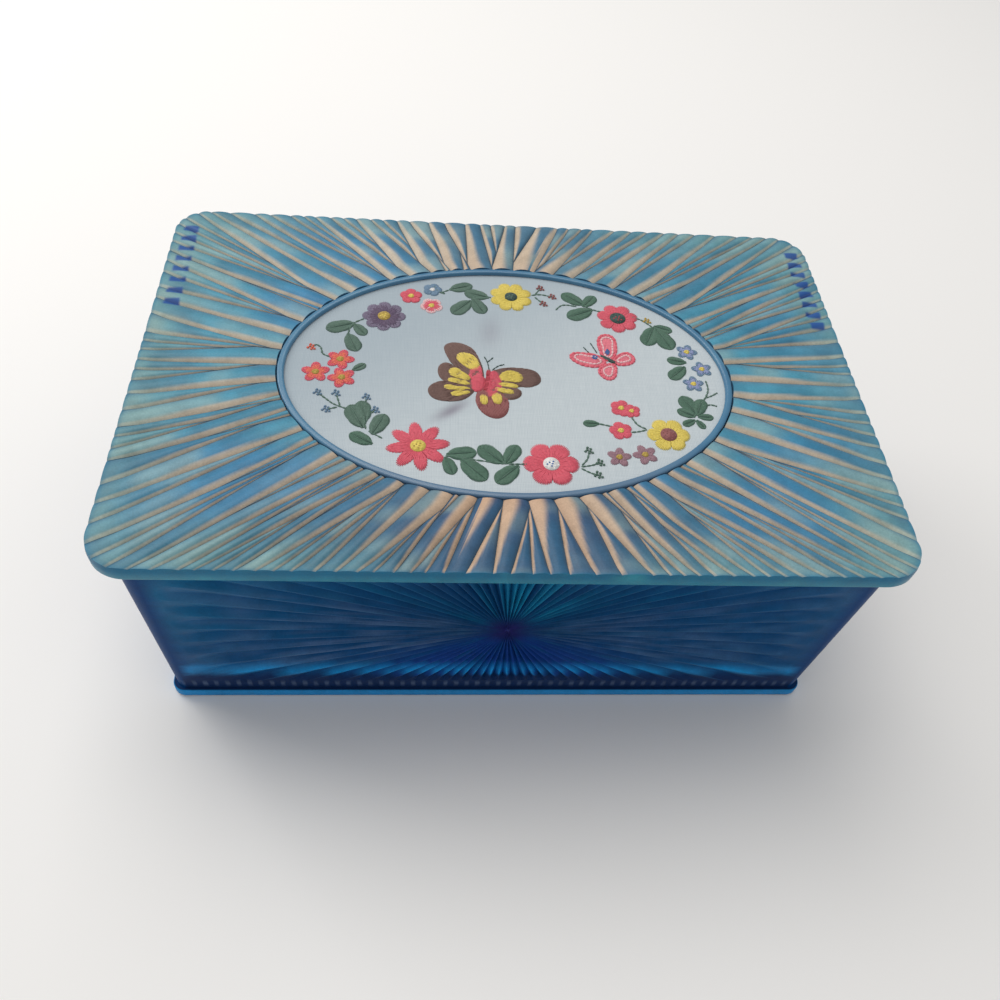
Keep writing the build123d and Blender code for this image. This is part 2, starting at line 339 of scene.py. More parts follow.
def ridgeStops(pair, share):
    # Where the ridges of one pair begin and end, kept in order
    stops = [0.0]
    for line in pairLines[pair]:
        stops.append(max(knotted(line, share), stops[-1] + lid["leastPart"]))
    stops.append(1.0)
    for place in range(len(stops) - 2, 0, -1):
        stops[place] = min(stops[place], stops[place + 1] - lid["leastPart"])
    return stops


def lidPoint(pair, part, share):
    # A point on the straight line that leaves the oval at this part of a pair, and the line's heading
    here, follow = pairShift[pair], pairShift[(pair + 1) % lid["pairs"]]
    inner, outer = [pair + here[k] + part * (1 + follow[k] - here[k]) for k in (0, 1)]
    x0, y0 = ovalPoint(turnAt(inner, ovalTable), lid["ovalOutset"])
    x1, y1 = rimPoint(turnAt(outer, rimTable), lid["rimInset"])
    return x0 + (x1 - x0) * share, y0 + (y1 - y0) * share, math.atan2(y1 - y0, x1 - x0)


bm = bmesh.new()
tint = bm.loops.layers.float_color.new("tint")
rows = []
for ringNumber in range(lid["rings"] + 1):
    share = (ringNumber / lid["rings"]) ** 0.9
    flat = 1 - lid["tipFlat"] * easeStep(0.86, 1.0, share)
    row = []
    for pair in range(lid["pairs"]):
        stops = ridgeStops(pair, share)
        for first, last in zip(stops, stops[1:]):
            width = math.dist(lidPoint(pair, first, share)[:2], lidPoint(pair, last, share)[:2])
            crest = lid["depth"] * min(1.0, width / lid["fullRidge"]) ** 0.7 * flat
            for n in range(lid["columns"]):
                t = n / lid["columns"]
                x, y, heading = lidPoint(pair, first + (last - first) * t, share)
                rise = crest * (4 * t * (1 - t)) ** 0.8
                z = lid["high"] - lid["depth"] * flat + rise * (1 if ringNumber else 0.85)
                row.append((bm.verts.new((x, y, z)), heading, width))
    rows.append((share, row))


def lidTone(x, y, angle, width, t, share, ridge):
    # A painted warm reflection beside the valley that faces the front left, a painted shade line at the other one,
    # painted shade on the far flank at the sides, and blue to green between
    facing = -math.sin(angle) * warmSide.x + math.cos(angle) * warmSide.y
    nearWarm = t if facing > 0 else 1 - t
    front, back = max(0.0, -math.sin(angle)), max(0.0, math.sin(angle))
    side = abs(math.cos(angle))
    sideShare = easeStep(0.45, 0.85, side)
    blot = cloudAt(x * 42, y * 42, 1.7)
    # Every ridge has its own long blots, darker blue or paler
    spot = cloudAt(ridge * 5.7, share * 2.6, 9.4)
    base = layered(
        lidTones, "teal",
        ("navy", easeStep(0.4, 0.88, front) * (1 - 0.15 * share)),
        ("deepBlue", easeStep(0.45, 0.95, back) * 0.85),
        ("green", easeStep(0.45, 1.0, share) * easeStep(0.35, 0.8, side)),
        ("blue", easeStep(0.45, 0.75, blot) * (0.85 - 0.5 * share) * (0.2 + 0.8 * sideShare)),
        ("blot", easeStep(0.50, 0.72, spot) * 0.42),
        ("grey", (1 - easeStep(0.28, 0.50, spot)) * 0.40),
        # Painted shade on the flank that tilts away, at the sides
        ("deepBlue", easeStep(0.5, 1.0, nearWarm) * 0.6 * sideShare),
    )
    # How far across the ridge the painted warm reflection reaches
    cover = (0.84 - 0.70 * share + 0.08 * share * back) * (1 - sideShare) + (0.30 - 0.10 * share) * sideShare
    cover *= 0.88 + 0.4 * noise.noise((x * 70, y * 70, 5.2))
    warm = (1 - easeStep(cover * 0.55, cover * 1.1, nearWarm)) * easeStep(0.0, 0.02, abs(facing))
    # The colour of the painted warm reflection
    warmTone = layered(
        lidTones, "peach",
        ("sand", easeStep(0.3, 0.9, side) * 0.75 + share * 0.3 + back * 0.6),
        ("grey", easeStep(0.55, 1.0, share) * easeStep(0.4, 0.9, side) * 0.7),
    )
    # Painted shade: a dark line along the other valley
    line = (1 - easeStep(0.00008, 0.00062, (1 - nearWarm) * width)) * 0.85
    return between(between(base, warmTone, warm * 0.95), lidTones["line"], line)


columnTotal = len(rows[0][1])
step = 1 / lid["columns"]
for (share0, row0), (share1, row1) in zip(rows, rows[1:]):
    for n in range(columnTotal):
        after = (n + 1) % columnTotal
        ridge, column = divmod(n, lid["columns"])
        t = column / lid["columns"]
        places = (
            (row0, n, t, share0), (row1, n, t, share1),
            (row1, after, t + step, share1), (row0, after, t + step, share0),
        )
        face = bm.faces.new([row[place][0] for row, place, at, share in places])
        for loop, (row, place, at, share) in zip(face.loops, places):
            x, y = loop.vert.co[:2]
            width = row[ridge * lid["columns"]][2]
            colour = lidTone(x, y, row0[n][1], width, at, share, ridge)
            loop[tint] = between(colour, lidTones["edge"], easeStep(0.965, 1.0, share) * 0.55)


def ringOf(row):
    verts = [entry[0] for entry in row]
    return verts, [math.atan2(v.co.y, v.co.x) for v in verts]


def plainRing(points, z):
    return [bm.verts.new((x, y, z)) for x, y in points]


def tintFaces(faces, layer, colour):
    for face in faces:
        for loop in face.loops:
            loop[layer] = colour


topInner, innerAngles = ringOf(rows[0][1])
topOuter, outerAngles = ringOf(rows[-1][1])
outerRings = []
for inset, z in (
    (0.0, lid["high"] - lid["edgeBand"]), (0.0, lid["low"] + 0.0006),
    (0.0002, lid["low"] + 0.00015), (0.0006, lid["low"]),
):
    outerRings.append(plainRing([rimPoint(a, inset, lid["corner"] - inset) for a in outerAngles], z))
innerTop = plainRing(map(ovalPoint, innerAngles), lid["recessTop"])
innerLow = plainRing(map(ovalPoint, innerAngles), lid["recess"])
for face in bridgeAll(bm, [topOuter] + outerRings):
    for loop in face.loops:
        x, y, height = loop.vert.co
        streak = easeStep(0.5, 0.9, cloudAt(x * 160, y * 160, height * 300)) * 0.8
        low = 1 - easeStep(0.0592, 0.0600, height)
        loop[tint] = layered(lidTones, "edge", ("edgeLow", streak), ("edgeLow", low))
innerFaces = bridge(bm, innerTop, topInner) + bridge(bm, innerLow, innerTop)
tintFaces(innerFaces + [bm.faces.new(innerLow[::-1])], tint, lidTones["recess"])
tintFaces([bm.faces.new(outerRings[-1])], tint, lidTones["under"])
print("lid meshed", len(bm.faces))

plastic = {"roughness": 0.30, "variation": 0.5, "bump": 0.00005}


def mouldedPlastic(name, specular):
    # Tinted moulded plastic: the piece's tint attribute, which on the lid and body also carries painted reflections,
    # highlights and shade, with a cloudy variation and a fine uneven surface
    material, tree, shader = newMaterial(name, {"Specular IOR Level": specular})
    coords = objectCoords(tree)
    cloud = noiseNode(coords, 260.0, 4.0, 0.65)
    fine = noiseNode(coords, 2400.0, 2.0, 0.6)
    grain = reckon("SUBTRACT", plus(times(cloud, 1.2), times(fine, 0.8)), 1.0)
    shade = plus(times(grain, plastic["variation"]), 1.0)
    grey = addNode(tree, "ShaderNodeCombineColor", {0: shade, 1: shade, 2: shade}).outputs[0]
    feed(shader, {"Roughness": plus(times(cloud, 0.18), plastic["roughness"])})
    bumpInto(shader, fine, plastic["bump"], 0.3)
    return material, tree, shader, mixColour(1.0, attribute(tree, "tint"), grey, "MULTIPLY")


# Eight dark blue patches stand in a row near each side edge, at the back
patches = {"x": (0.0767, 0.0803), "y": (0.0177, 0.0494), "z": (0.0606, 0.0640), "from": 0.0176, "pitch": 0.00397}
lidMaterial, tree, shader, colour = mouldedPlastic("lidPlastic", 0.25)
xIn, yIn, zIn = splitCoords(tree)
inRow = band(reckon("ABSOLUTE", xIn), *patches["x"], 0.0003)
alongRow = band(yIn, *patches["y"], 0.0002)
beat = reckon("FRACT", reckon("DIVIDE", reckon("SUBTRACT", yIn, patches["from"]), patches["pitch"]))
onTop = band(zIn, *patches["z"], 0.0002)
patch = times(inRow, alongRow, band(beat, 0.24, 0.78, 0.07), onTop, 0.9)
feed(shader, {"Base Color": mixColour(patch, colour, lidTones["patch"])})
lidObject = pieceFrom("fluted_lid", bm, "lid", [lidMaterial], 24)
print("lid finished")

# Hinge arms under the lid, with the holes that the pins run in
arm = {
    "inner": 0.07233, "outer": 0.07533, "y": 0.0466, "z": 0.0500, "radius": 0.003, "hole": 0.00105,
    "top": 0.0590, "steps": 40,
}


def armMesh(sign):
    bm = bmesh.new()
    outline, hole = [], []
    for n in range(arm["steps"]):
        angle = 2 * math.pi * n / arm["steps"] + math.pi / arm["steps"]
        c, s = math.cos(angle), math.sin(angle)
        reach = arm["radius"]
        if s > 0:
            reach = min(reach / abs(c), (arm["top"] - arm["z"]) / s)
        outline.append((c * reach, s * reach))
        hole.append((c * arm["hole"], s * arm["hole"]))
    outA, holeA, outB, holeB = [
        [bm.verts.new((sign * arm[x], arm["y"] + y, arm["z"] + z)) for y, z in points]
        for x in ("inner", "outer") for points in (outline, hole)
    ]
    for first, second in ((outA, outB), (holeB, holeA), (holeA, outA), (outB, holeB)):
        bridge(bm, first, second)
    return bm


for sign, name in ((-1, "lid_arm_left"), (1, "lid_arm_right")):
    armBmesh = armMesh(sign)
    tintFaces(armBmesh.faces, armBmesh.loops.layers.float_color.new("tint"), lidTones["under"])
    armObject = pieceFrom(name, armBmesh, "lid", [lidMaterial], 30)
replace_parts(lidObject, "lid_frame")
print("arms finished")

# Body: tapered walls on a foot, with a starburst of V grooves pressed into each wall
body = {
    "rim": 0.0588, "slope": math.tan(math.radians(2)), "half": (0.0791, 0.0516), "corner": 0.0045,
    "cornerSteps": 8, "levels": 28, "footHeight": 0.0028, "footHalf": (0.07815, 0.05065), "footCorner": 0.003,
    "cavityFloor": 0.0030, "cavityHalf": (0.0761, 0.0486), "cavityCorners": (0.00315, 0.0012), "rays": 72,
    "rayShares": (0.0, 0.06, 0.13, 0.21, 0.30, 0.40, 0.50, 0.60, 0.70, 0.79, 0.87, 0.93, 0.965, 0.99, 1.0),
    "rayStart": 0.0006, "centre": 0.033, "sideMargin": 0.0065, "up": 0.0216, "down": 0.0262,
    "grooveShare": 0.92, "grooveSteps": 6, "depth": 0.0011, "arch": 0.0008,
}
# Among these tones, tealLit and the bright and lavender ones are painted light, the bead tone is a painted highlight,
# strip is a painted shade band over the arches near the foot, and margin also paints shade in the grooves
bodyTones = palette(
    deep=(20, 76, 124), mid=(14, 98, 142), centre=(44, 40, 108), low=(24, 66, 146), bright=(28, 162, 236),
    tealLit=(24, 136, 176), lavender=(92, 112, 150), margin=(0, 60, 116), strip=(22, 46, 88),
    bead=(120, 138, 164), foot=(40, 140, 205), inside=(24, 84, 138),
)


def wallPoint(wall, u, z, depth):
    inset = (body["rim"] - z) * body["slope"] + depth
    x, y = body["half"][0] - inset, body["half"][1] - inset
    return ((u, -y, z), (x, u, z), (-u, y, z), (-x, -u, z))[wall]


def rectangleReach(angle, half):
    across, rise = abs(math.cos(angle)), math.sin(angle)
    reach = half / across if across > 1e-6 else 1e9
    return min(reach, body["up" if rise > 0 else "down"] / abs(rise)) if abs(rise) > 1e-6 else reach


random.seed(11)
rayTones = [[random.random() for n in range(body["rays"])] for wall in range(4)]


def wallTone(wall, ray, u, z, radius, angle, groove):
    # Deep blue with a purple heart, painted teal light on some upward rays, pale painted highlights in streaks along
    # the rays, painted shade in the grooves, and teeth with painted light above a band of painted shade over the dark
    # arches near the foot
    rise, run = math.sin(angle), math.cos(angle)
    outward = abs(u) / body["half"][wall % 2]
    chance = rayTones[wall][ray]
    streak = cloudAt(ray * 3.7 + wall * 91.3, radius * 130, groove * 1.3)
    flank = 1 - groove
    # Painted teal light on some upward rays near the middle of the wall
    near = 1 - easeStep(0.004, 0.016, abs(u - 0.003))
    lit = easeStep(0.003, 0.012, radius) * (0.16 + 0.84 * near) * (0.4 + 0.6 * flank) * chance
    # Pale painted highlights on the sideways rays, stronger on the left
    pale = (0.85 if run < 0 else 0.6) * (1 - easeStep(0.25, 0.5, abs(rise + 0.06)))
    pale *= easeStep(0.003, 0.014, radius) * (1 - 0.6 * easeStep(0.4, 0.9, outward))
    # Painted light on the teeth above the arches
    tooth = (1 - easeStep(0.0130, 0.0165, z)) * easeStep(0.0096, 0.0112, z) * (1 - 0.45 * easeStep(0.6, 0.95, outward))
    return layered(
        bodyTones, "deep",
        ("mid", easeStep(0.25, 1.0, outward) * easeStep(0.012, 0.05, z) * (1.0 if run < 0 else 0.2)),
        ("low", easeStep(0.1, 0.8, -rise) * (1 - easeStep(0.2, 0.6, outward))),
        ("tealLit", lit if rise > 0.45 and chance > 0.3 else 0),
        ("lavender", pale * easeStep(0.38, 0.7, streak) if abs(rise) < 0.5 else 0),
        ("mid", easeStep(0.5, 0.8, streak) * 0.5),
        ("bright", tooth * (0.35 + 0.65 * flank) * (0.55 + 0.45 * chance)),
        # Painted shade in a band over the arches near the foot
        ("strip", 1 - easeStep(0.0088, 0.0102, z)),
        ("centre", 1 - easeStep(0.0015, 0.0075, radius)),
        # Painted shade in the grooves
        ("margin", groove * 0.4),
    )


bm = bmesh.new()
bodyTint = bm.verts.layers.float_color.new("tint")


def bodyVert(place, colour):
    v = bm.verts.new(place)
    v[bodyTint] = colour
    return v


def plainVert(wall, u, z):
    # A point on the smooth part of a wall, darker at the corners, with painted shade near the foot
    wallHalf = body["half"][wall % 2]
    colour = layered(bodyTones, "deep", ("margin", easeStep(wallHalf - 0.0095, wallHalf - 0.006, abs(u))))
    # Painted shade on the band near the foot
    colour = between(bodyTones["strip"], colour, easeStep(0.0072, 0.0102, z))
    return bodyVert(wallPoint(wall, u, z, 0), colour)


def fillBetween(*loopsOfVerts):
    edges = []
    for verts in loopsOfVerts:
        for pair in zip(verts, verts[1:] + verts[:1]):
            edges.append(bm.edges.get(pair) or bm.edges.new(pair))
    bmesh.ops.triangle_fill(bm, use_beauty=True, use_dissolve=False, edges=edges)


levels = [
    body["footHeight"] + (body["rim"] - body["footHeight"]) * n / body["levels"]
    for n in range(body["levels"] + 1)
]
flatHalves = [half - body["corner"] for half in body["half"]]
stepAngle = 2 * math.pi / body["rays"]
wallFrames = []
for wall in range(4):
    flatHalf = flatHalves[wall % 2]
    fieldHalf = body["half"][wall % 2] - (body["rim"] - body["centre"]) * body["slope"] - body["sideMargin"]
    rings = [[] for share in body["rayShares"]]
    for ray in range(body["rays"]):
        middle = (ray + 0.5) * stepAngle
        reach = rectangleReach(middle, fieldHalf)
        slant = 0.0014 + 0.009 * abs(math.cos(middle)) ** 3
        for k in range(body["grooveSteps"] + 1):
            t = k / body["grooveSteps"]
            angle = (ray + (1 - body["grooveShare"]) / 2 + body["grooveShare"] * t) * stepAngle
            end = reach - body["arch"] + body["arch"] * math.sqrt(max(0.0, 1 - (2 * t - 1) ** 2))
            for ring, share in zip(rings, body["rayShares"]):
                radius = body["rayStart"] + (end - body["rayStart"]) * share
                fall = min(1.0, max(0.0, (end - radius) / slant)) ** 0.7
                groove = (1 - abs(2 * t - 1)) * fall
                depth = body["depth"] * min(1.0, radius / 0.013) * groove
                u, z = radius * math.cos(angle), body["centre"] + radius * math.sin(angle)
                colour = wallTone(wall, ray, u, z, radius, angle, groove)
                ring.append(bodyVert(wallPoint(wall, u, z, depth), colour))
    bridgeAll(bm, rings)
    bm.faces.new(rings[0])
    columns = int(round(2 * flatHalf / 0.0026))
    across = [-flatHalf + 2 * flatHalf * n / columns for n in range(1, columns)]
    left, right = [[plainVert(wall, u, z) for z in levels] for u in (-flatHalf, flatHalf)]
    low, high = [[plainVert(wall, u, z) for u in across] for z in (levels[0], levels[-1])]
    fillBetween(left[:1] + low + right + high[::-1] + left[:0:-1], rings[-1])
    wallFrames.append((left, right, left[:1] + low + right[:1], left[-1:] + high + right[-1:]))
print("walls meshed", len(bm.faces))

lowLoop, highLoop = [], []
for wall, (left, right, low, high) in enumerate(wallFrames):
    centreX = flatHalves[0] * (1 if wall in (0, 1) else -1)
    centreY = flatHalves[1] * (-1 if wall in (0, 3) else 1)
    strips = [right]
    for n in range(1, body["cornerSteps"]):
        angle = math.radians(-90 + 90 * wall) + math.pi / 2 * n / body["cornerSteps"]
        strip = []
        for z in levels:
            radius = body["corner"] - (body["rim"] - z) * body["slope"]
            strip.append(bodyVert((*around((centreX, centreY), angle, radius), z), bodyTones["margin"]))
        strips.append(strip)
    strips.append(wallFrames[(wall + 1) % 4][0])
    for first, second in zip(strips, strips[1:]):
        for n in range(body["levels"]):
            bm.faces.new((first[n], second[n], second[n + 1], first[n + 1]))
    lowLoop += low + [strip[0] for strip in strips[1:-1]]
    highLoop += high + [strip[-1] for strip in strips[1:-1]]


def roundedLoop(half, inset, corner, z, name, steps=10):
    verts = []
    for quarter, (sx, sy) in enumerate(((1, -1), (1, 1), (-1, 1), (-1, -1))):
        for n in range(steps + 1):
            angle = math.radians(-90 + 90 * quarter) + math.pi / 2 * n / steps
            centre = (sx * (half[0] - inset - corner), sy * (half[1] - inset - corner))
            verts.append(bodyVert((*around(centre, angle, corner), z), bodyTones[name]))
    return verts


footRings = [
    roundedLoop(body["footHalf"], inset, body["footCorner"] - inset, z, name)
    for inset, z, name in (
        # The foot's top ring carries the painted shade of the band above the foot
        (0.00035, body["footHeight"], "strip"),
        (0.0001, body["footHeight"] - 0.0001, "foot"),
        (0.0, body["footHeight"] - 0.0004, "foot"),
        (0.0, 0.0005, "foot"),
        (0.0001, 0.00015, "deep"),
        (0.0004, 0.0, "deep"),
        (0.0070, 0.0, "deep"),
        (0.0070, 0.0008, "deep"),
    )
]
fillBetween(lowLoop, footRings[0])
bridgeAll(bm, footRings)
bm.faces.new(footRings[-1])
cavityDrop = (body["rim"] - body["cavityFloor"]) * body["slope"]
cavityTop = roundedLoop(body["cavityHalf"], 0.0, body["cavityCorners"][0], body["rim"], "inside")
cavityLow = roundedLoop(body["cavityHalf"], cavityDrop, body["cavityCorners"][1], body["cavityFloor"], "inside")
fillBetween(highLoop, cavityTop)
bridge(bm, cavityTop, cavityLow)
bm.faces.new(cavityLow)
bmesh.ops.remove_doubles(bm, verts=bm.verts, dist=1e-7)
print("body meshed", len(bm.faces), "open edges", sum(1 for e in bm.edges if len(e.link_faces) != 2))

# The hinge's cuts: the sloped rear rim, two notches for the arms, and the holes and sinks for the pins
hinge = {
    "y": 0.0466, "z": 0.0500, "rearY": 0.0516, "rearZ": 0.05712, "cutY": 0.060, "cutZ": 0.070, "cutX": 0.09,
    "notchLow": 0.0459, "notchInner": 0.07193, "notchOuter": 0.07573, "holeFrom": 0.0750, "hole": 0.0010,
    "sinkFrom": 0.07775, "sink": 0.00165, "sinkTo": 0.0810, "steps": 32,
}


def prism(bmCut, frontLow, backLow, x0, x1):
    # Stands behind the hinge line, from the two low edges up to above the rim
    low, back, high = hinge["y"], hinge["cutY"], hinge["cutZ"]
    outline = ((low, frontLow), (back, backLow), (back, high), (low, high))
    ends = [[bmCut.verts.new((x, y, z)) for y, z in outline] for x in (x0, x1)]
    bridge(bmCut, *ends)
    bmCut.faces.new(ends[0][::-1])
    bmCut.faces.new(ends[1])


wedge, notches, pinHoles = bmesh.new(), bmesh.new(), bmesh.new()
slopeZ = (hinge["rearZ"] - body["rim"]) / (hinge["rearY"] - hinge["y"])
wedgeBack = body["rim"] + slopeZ * (hinge["cutY"] - hinge["y"])
prism(wedge, body["rim"], wedgeBack, -hinge["cutX"], hinge["cutX"])
for sign in (-1, 1):
    sides = sorted((sign * hinge["notchInner"], sign * hinge["notchOuter"]))
    prism(notches, hinge["notchLow"], hinge["notchLow"], *sides)
    loops = []
    for place, size in (("holeFrom", "hole"), ("sinkFrom", "hole"), ("sinkFrom", "sink"), ("sinkTo", "sink")):
        circle = [around((hinge["y"], hinge["z"]), a, hinge[size]) for a in turns(hinge["steps"])]
        loops.append([pinHoles.verts.new((sign * hinge[place], y, z)) for y, z in circle])
    bridgeAll(pinHoles, loops)
    pinHoles.faces.new(loops[0])
    pinHoles.faces.new(loops[-1])
bodyObject = linked("starburst_body", meshFrom("starburst_body", bm))
cutters = [
    linked(name, meshFrom(name, cut))
    for name, cut in (("cut_rear_rim", wedge), ("cut_notches", notches), ("cut_pin_holes", pinHoles))
]
for cutter in cutters:
    modifier = bodyObject.modifiers.new(cutter.name, "BOOLEAN")
    modifier.operation = "DIFFERENCE"
    modifier.solver = "EXACT"
    modifier.object = cutter
cutMesh = bpy.data.meshes.new_from_object(bodyObject.evaluated_get(bpy.context.evaluated_depsgraph_get()))
bodyObject.modifiers.clear()
bodyObject.data = smoothed(cutMesh, 14)
for cutter in cutters:
    bpy.data.objects.remove(cutter)
# The faces that the cutters leave carry no tint of their own
for vertex, entry in zip(cutMesh.vertices, cutMesh.attributes["tint"].data):
    if min(entry.color[:3]) > 0.9 or max(entry.color[:3]) < 0.001:
        entry.color = bodyTones["deep"] if vertex.co.y > 0.0505 else bodyTones["inside"]
cutMesh.materials.clear()
# A row of painted highlights, like beads, on the band above the foot
beadRow = {"pitch": 0.0026, "z": (0.0040, 0.0060), "side": 0.0478, "end": 0.0755}
bodyMaterial, tree, shader, colour = mouldedPlastic("bodyPlastic", 0.05)
xIn, yIn, zIn = splitCoords(tree)
wobble = times(noiseNode(objectCoords(tree), 500.0), 1.6)
beads = []
for way, other, edge in ((xIn, yIn, beadRow["side"]), (yIn, xIn, beadRow["end"])):
    wave = reckon("SINE", plus(times(way, 2 * math.pi / beadRow["pitch"]), wobble))
    onWall = reckon("GREATER_THAN", reckon("ABSOLUTE", other), edge)
    beads.append(times(band(wave, 0.35, 2.0, 0.35), onWall))
beads = times(reckon("MAXIMUM", *beads), band(zIn, *beadRow["z"], 0.0009))
faint = times(noiseNode(objectCoords(tree), 220.0), 0.62)
feed(shader, {"Base Color": mixColour(times(beads, faint), colour, bodyTones["bead"])})
cutMesh.materials.append(bodyMaterial)
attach(bodyObject, "box")
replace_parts(bodyObject, "box_body")
print("body finished", len(cutMesh.polygons))


def dress(node, material):
    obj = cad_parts[node]
    if not obj.material_slots:
        obj.data.materials.append(material)
    for slot in obj.material_slots:
        slot.material = material


def plainStuff(name, dark, light, scale, roughness, metallic=0.0, bumpDistance=0.0001):
    material, tree, shader = newMaterial(name, {"Roughness": roughness, "Metallic": metallic})
    coords = objectCoords(tree)
    spread = noiseNode(coords, scale, 4.0, 0.6)
    feed(shader, {"Base Color": mixColour(spread, dark + (1,), light + (1,))})
    bumpInto(shader, noiseNode(coords, scale * 4, 3.0), bumpDistance, 0.4)
    return material


dress("backing_card", plainStuff("cardFibre", (0.30, 0.23, 0.16), (0.46, 0.37, 0.26), 400.0, 0.9))
dress("cloth_wadding", plainStuff("waddingFibre", (0.66, 0.66, 0.63), (0.82, 0.82, 0.79), 700.0, 1.0))
brass = plainStuff("drawnBrass", (0.48, 0.33, 0.13), (0.66, 0.48, 0.21), 900.0, 0.28, 1.0, 0.00002)
dress("hinge_pin_left", brass)
dress("hinge_pin_right", brass)
dress("floor_lining", plainStuff("flockedLining", (0.012, 0.035, 0.10), (0.03, 0.075, 0.18), 1200.0, 1.0))
print("carried nodes dressed")

# Oval ring: a round-edged band that lies on the cloth's edge
ring = {
    "half": (0.05205, 0.0366), "band": 0.0015, "low": 0.0619, "high": 0.0628, "steps": 240,
    "profile": ((0.0, 0.0), (0.0, 0.7), (0.12, 0.92), (0.3, 1.0), (0.7, 1.0), (0.88, 0.92), (1.0, 0.7), (1.0, 0.0)),
}


def ringMesh():
    bm = bmesh.new()
    loops = []
    for inward, upward in ring["profile"]:
        z = ring["low"] + (ring["high"] - ring["low"]) * upward
        length, width = [half - ring["band"] * inward for half in ring["half"]]
        loops.append([bm.verts.new((math.cos(a) * length, math.sin(a) * width, z)) for a in turns(ring["steps"])])
    bridgeAll(bm, loops + loops[:1])
    return bm


def ringPlastic():
    material, tree, shader = newMaterial("ringPlastic", {"Roughness": 0.34, "Coat Weight": 0.12})
    cloud = noiseNode(objectCoords(tree), 120.0)
    frontPart = band(splitCoords(tree)[1], -0.06, -0.026, 0.006)
    blue = mixColour(cloud, tone(52, 104, 144), tone(86, 138, 168))
    feed(shader, {"Base Color": mixColour(times(frontPart, 0.7), blue, tone(90, 114, 142))})
    return material


ringObject = pieceFrom("oval_rim", ringMesh(), "lid", [ringPlastic()], 50)
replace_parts(ringObject, "oval_ring")

# Cloth: a woven oval, stretched, with a soft swell of the wadding and two shallow dimples, with painted shadow in the
# dimples and painted shade over the back left
cloth = {
    "half": (0.05205, 0.0366),
    "low": 0.0615,
    "high": 0.0619,
    "rings": 60,
    "steps": 300,
    "swell": 0.00012,
    "thread": 0.00034,
    # Each dimple's dark share is painted shadow
    "dimples": (
        {"place": (-0.0132, -0.0118), "turn": 38, "half": (0.0042, 0.0014), "deep": 0.00022, "dark": 0.75},
        {"place": (-0.0038, 0.0140), "turn": 84, "half": (0.0050, 0.0026), "deep": 0.00008, "dark": 0.30},
    ),
}


def dimpleShare(x, y, dimple):
    (dx, dy), (halfLength, halfWidth) = dimple["place"], dimple["half"]
    c, s = math.cos(math.radians(dimple["turn"])), math.sin(math.radians(dimple["turn"]))
    along, across = (x - dx) * c + (y - dy) * s, (y - dy) * c - (x - dx) * s
    return math.exp(-((along / halfLength) ** 2 + (across / halfWidth) ** 2))


def clothTop(x, y):
    away = (x / cloth["half"][0]) ** 2 + (y / cloth["half"][1]) ** 2
    z = cloth["high"] - 0.00008 + cloth["swell"] * 0.5 * noise.noise((x * 60, y * 60, 3.1))
    for dimple in cloth["dimples"]:
        z -= dimple["deep"] * dimpleShare(x, y, dimple)
    return z - 0.00006 * max(0.0, (away - 0.92) / 0.08)


def clothMesh():
    bm = bmesh.new()
    middle = bm.verts.new((0, 0, clothTop(0, 0)))
    loops = []
    for n in range(1, cloth["rings"] + 1):
        share = n / cloth["rings"]
        length, width = cloth["half"]
        points = [(math.cos(a) * length * share, math.sin(a) * width * share) for a in turns(cloth["steps"])]
        loops.append([bm.verts.new((x, y, clothTop(x, y))) for x, y in points])
    for first, second in zip(loops[0], loops[0][1:] + loops[0][:1]):
        bm.faces.new((middle, first, second))
    for first, second in zip(loops, loops[1:]):
        bridge(bm, second, first)
    under = [bm.verts.new((v.co.x, v.co.y, cloth["low"])) for v in loops[-1]]
    bridge(bm, under, loops[-1])
    bm.faces.new(under[::-1])
    # The shade attribute holds painted shadow in the dimples and painted shade over the back left
    shade = bm.verts.layers.float_color.new("shade")
    for v in bm.verts:
        dark = max(dimple["dark"] * dimpleShare(v.co.x, v.co.y, dimple) for dimple in cloth["dimples"])
        v[shade] = (dark, 0.58 * easeStep(-0.02, 0.035, 0.9 * v.co.y - 0.6 * v.co.x), 0, 1)
    return bm


def clothWeave():
    material, tree, shader = newMaterial("linenWeave", {"Roughness": 0.85, "Sheen Weight": 0.15})
    coords = objectCoords(tree)
    wobble = times(noiseNode(coords, 900.0), 2.4)
    ways, slubs = [], []
    for way, scale in zip(splitCoords(tree), ((3200.0, 160.0, 1.0), (160.0, 3200.0, 1.0))):
        ways.append(reckon("SINE", plus(times(way, 2 * math.pi / cloth["thread"]), wobble)))
        stretched = addNode(tree, "ShaderNodeMapping", {0: coords, "Scale": scale}).outputs[0]
        slubs.append(noiseNode(stretched, 1.0))
    over = plus(times(plus(*ways), 0.25), 0.5)
    slub = times(plus(*slubs), 0.5)
    slubShare = reckon("MULTIPLY", reckon("SUBTRACT", slub, 0.42, clamp=True), 1.6, clamp=True)
    colour = mixColour(over, tone(172, 184, 192), tone(196, 206, 212))
    colour = mixColour(slubShare, colour, tone(206, 215, 220))
    # Painted shade over the back left, then painted shadow in the dimples
    dark, cast = addNode(tree, "ShaderNodeSeparateColor", {0: attribute(tree, "shade")}).outputs[:2]
    colour = mixColour(cast, colour, tone(136, 154, 168))
    feed(shader, {"Base Color": mixColour(dark, colour, tone(122, 116, 132))})
    bumpInto(shader, plus(over, slub), 0.00006, 0.4)
    return material


clothObject = pieceFrom("woven_oval", clothMesh(), "lid", [clothWeave()], 50)
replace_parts(clothObject, "embroidered_cloth")
print("ring and cloth finished")

